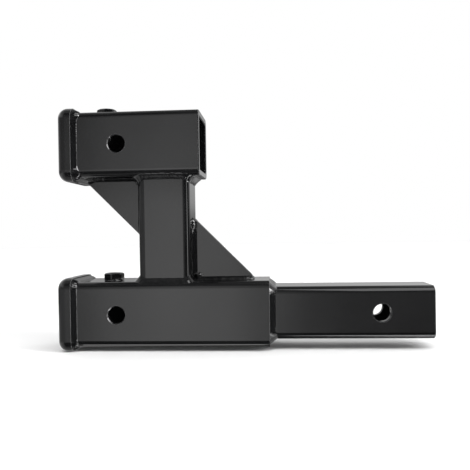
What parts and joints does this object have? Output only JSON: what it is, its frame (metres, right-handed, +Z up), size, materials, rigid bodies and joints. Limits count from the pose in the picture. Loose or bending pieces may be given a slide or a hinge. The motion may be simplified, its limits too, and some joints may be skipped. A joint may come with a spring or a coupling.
{
  "type": "hitch receiver extender",
  "caption": "Raised hitch receiver extender: a square shank carries a lower receiver tube in line and an upper one on a gusseted post.",
  "frame": {"origin": "centre of the shank's pin hole, on the shank's axis at mid-width", "axes": "+X along the shank towards the end that enters the vehicle's receiver, +Y along the pin holes, +Z up"},
  "size_m": [0.3635, 0.072, 0.2412],
  "materials": {
    "coated_steel": "gloss black powder coat",
    "weld_bead": "gloss black powder coat",
    "weld_nut": "gloss black powder coat"
  },
  "bodies": {
    "root": {"shank": "coated_steel", "lower_receiver_tube": "coated_steel", "lower_receiver_collar": "coated_steel", "upper_receiver_tube": "coated_steel", "upper_receiver_collar": "coated_steel", "riser_post": "coated_steel", "upper_gusset": "coated_steel", "lower_gusset": "coated_steel", "lower_weld_nut": "weld_nut", "upper_weld_nut": "weld_nut", "shank_weld": "weld_bead", "lower_collar_weld": "weld_bead", "upper_collar_weld": "weld_bead", "post_foot_weld": "weld_bead", "post_head_weld": "weld_bead", "upper_gusset_tube_weld": "weld_bead", "upper_gusset_post_weld": "weld_bead", "lower_gusset_tube_weld": "weld_bead", "lower_gusset_post_weld": "weld_bead", "lower_nut_weld": "weld_bead", "upper_nut_weld": "weld_bead"}
  },
  "joints": []
}
